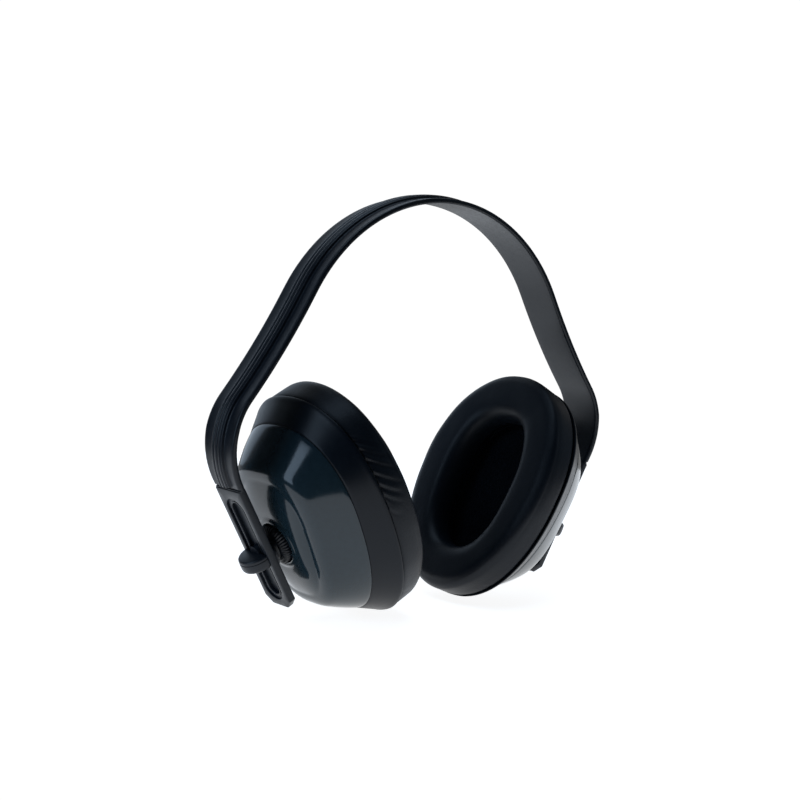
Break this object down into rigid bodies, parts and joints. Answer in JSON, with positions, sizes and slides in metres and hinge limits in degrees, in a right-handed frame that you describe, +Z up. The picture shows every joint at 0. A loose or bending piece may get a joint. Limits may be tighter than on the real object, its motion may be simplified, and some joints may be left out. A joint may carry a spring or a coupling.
{
  "type": "earmuff hearing protector",
  "caption": "Over-the-head earmuff: sprung plastic headband with slotted arms, sliding ball-jointed ear cups, soft sealing cushions.",
  "frame": {"origin": "middle of the crown's underside, where the band rests on the head", "axes": "+Z up, X from ear to ear, Y from front to back; -X is called left"},
  "size_m": [0.2128, 0.0804, 0.178],
  "materials": {
    "band_plastic": "satin black injection-moulded plastic",
    "hub_plastic": "satin black moulded plastic, fine ribs",
    "seat_rubber": "matte black elastomer",
    "shell_plastic": "glossy dark blue-grey moulded plastic",
    "ring_plastic": "satin black moulded plastic",
    "cushion_vinyl": "soft satin black vinyl film, fine creases",
    "cushion_foam": "soft open-cell foam, hidden in the vinyl",
    "liner_foam": "matte near-black open-cell acoustic foam"
  },
  "bodies": {
    "band": {"headband_crown": "band_plastic"},
    "left_arm": {"left_headband_arm": "band_plastic"},
    "left_slider": {"left_slider_knob": "band_plastic", "left_friction_washer": "band_plastic"},
    "left_seat": {"left_ball_seat": "seat_rubber"},
    "left_hub": {"left_pivot_hub": "hub_plastic", "left_hub_retainer": "hub_plastic"},
    "left_cup": {"left_cup_shell": "shell_plastic", "left_rim_ring": "ring_plastic", "left_liner_foam": "liner_foam", "left_cushion_plate": "ring_plastic", "left_cushion_foam": "cushion_foam", "left_cushion_skin": "cushion_vinyl"},
    "right_arm": {"right_headband_arm": "band_plastic"},
    "right_slider": {"right_slider_knob": "band_plastic", "right_friction_washer": "band_plastic"},
    "right_seat": {"right_ball_seat": "seat_rubber"},
    "right_hub": {"right_pivot_hub": "hub_plastic", "right_hub_retainer": "hub_plastic"},
    "right_cup": {"right_cup_shell": "shell_plastic", "right_rim_ring": "ring_plastic", "right_liner_foam": "liner_foam", "right_cushion_plate": "ring_plastic", "right_cushion_foam": "cushion_foam", "right_cushion_skin": "cushion_vinyl"}
  },
  "joints": [
    {"name": "left_spread", "type": "hinge", "parent": "band", "child": "left_arm", "pos_m": [-0.01419, 0, 0.00255], "axis": [0, 1, 0], "range_deg": [0, 22], "stiffness_Nm_per_rad": 5.2},
    {"name": "left_height", "type": "slide", "parent": "left_arm", "child": "left_slider", "axis": [0.497, 0, -0.8678], "range_m": [-0.01, 0.0125]},
    {"name": "left_tilt", "type": "hinge", "parent": "left_slider", "child": "left_seat", "pos_m": [-0.07503, 0, -0.14181], "axis": [0, 1, 0], "range_deg": [-5, 15]},
    {"name": "left_swivel", "type": "hinge", "parent": "left_seat", "child": "left_hub", "pos_m": [-0.07503, 0, -0.14181], "axis": [-0.4555, 0, 0.8902], "range_deg": [-8, 8]},
    {"name": "left_turn", "type": "hinge", "parent": "left_hub", "child": "left_cup", "pos_m": [-0.07503, 0, -0.14181], "axis": [0.8902, 0, 0.4555], "range_deg": [-12, 12]},
    {"name": "right_spread", "type": "hinge", "parent": "band", "child": "right_arm", "pos_m": [0.01419, 0, 0.00255], "axis": [0, -1, 0], "range_deg": [0, 22], "stiffness_Nm_per_rad": 5.2},
    {"name": "right_height", "type": "slide", "parent": "right_arm", "child": "right_slider", "axis": [-0.497, 0, -0.8678], "range_m": [-0.01, 0.0125]},
    {"name": "right_tilt", "type": "hinge", "parent": "right_slider", "child": "right_seat", "pos_m": [0.07503, 0, -0.14181], "axis": [0, -1, 0], "range_deg": [-5, 15]},
    {"name": "right_swivel", "type": "hinge", "parent": "right_seat", "child": "right_hub", "pos_m": [0.07503, 0, -0.14181], "axis": [-0.4555, 0, -0.8902], "range_deg": [-8, 8]},
    {"name": "right_turn", "type": "hinge", "parent": "right_hub", "child": "right_cup", "pos_m": [0.07503, 0, -0.14181], "axis": [0.8902, 0, -0.4555], "range_deg": [-12, 12]}
  ],
  "couplings": [
    {"joint": "right_spread", "follows": "left_spread", "ratio": 1}
  ]
}
